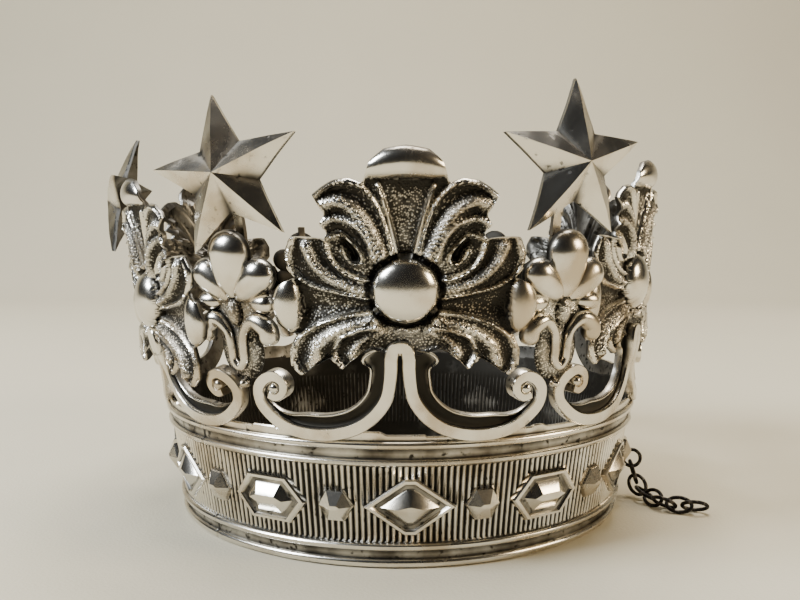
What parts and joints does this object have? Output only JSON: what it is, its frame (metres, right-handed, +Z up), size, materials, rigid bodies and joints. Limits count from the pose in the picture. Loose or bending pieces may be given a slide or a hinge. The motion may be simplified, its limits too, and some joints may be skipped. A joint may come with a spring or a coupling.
{
  "type": "statue crown",
  "caption": "Silver statue crown: a ribbed conical band with embossed jewels carries openwork rosettes on scrolls, palmettes and faceted stars, and a short chain hangs at its side.",
  "frame": {"origin": "centre of the band's underside, on the axis of the band", "axes": "+Z up along the axis of the band, -Y towards the front rosette, +X towards the side with the chain"},
  "size_m": [0.1322, 0.1202, 0.0853],
  "materials": {
    "silver": "polished stamped silver with dark tarnish left in the recesses",
    "blackened_chain": "blackened wire"
  },
  "bodies": {
    "root": {"band": "silver", "rosette_front": "silver", "rosette_front_right": "silver", "rosette_back_right": "silver", "rosette_back": "silver", "rosette_back_left": "silver", "rosette_front_left": "silver", "palmette_right_front": "silver", "palmette_right": "silver", "palmette_back_right": "silver", "palmette_back_left": "silver", "palmette_left": "silver", "palmette_left_front": "silver", "star_left": "silver", "star_left_front": "silver", "star_right_front": "silver", "star_stem_right_front": "silver", "star_stem_right": "silver", "star_stem_back_left": "silver", "star_stem_left": "silver", "star_stem_left_front": "silver", "chain_staple": "blackened_chain", "chain_link_1": "blackened_chain", "chain_link_2": "blackened_chain", "chain_link_3": "blackened_chain", "chain_link_4": "blackened_chain", "chain_link_5": "blackened_chain", "chain_link_6": "blackened_chain", "chain_link_7": "blackened_chain"}
  },
  "joints": []
}
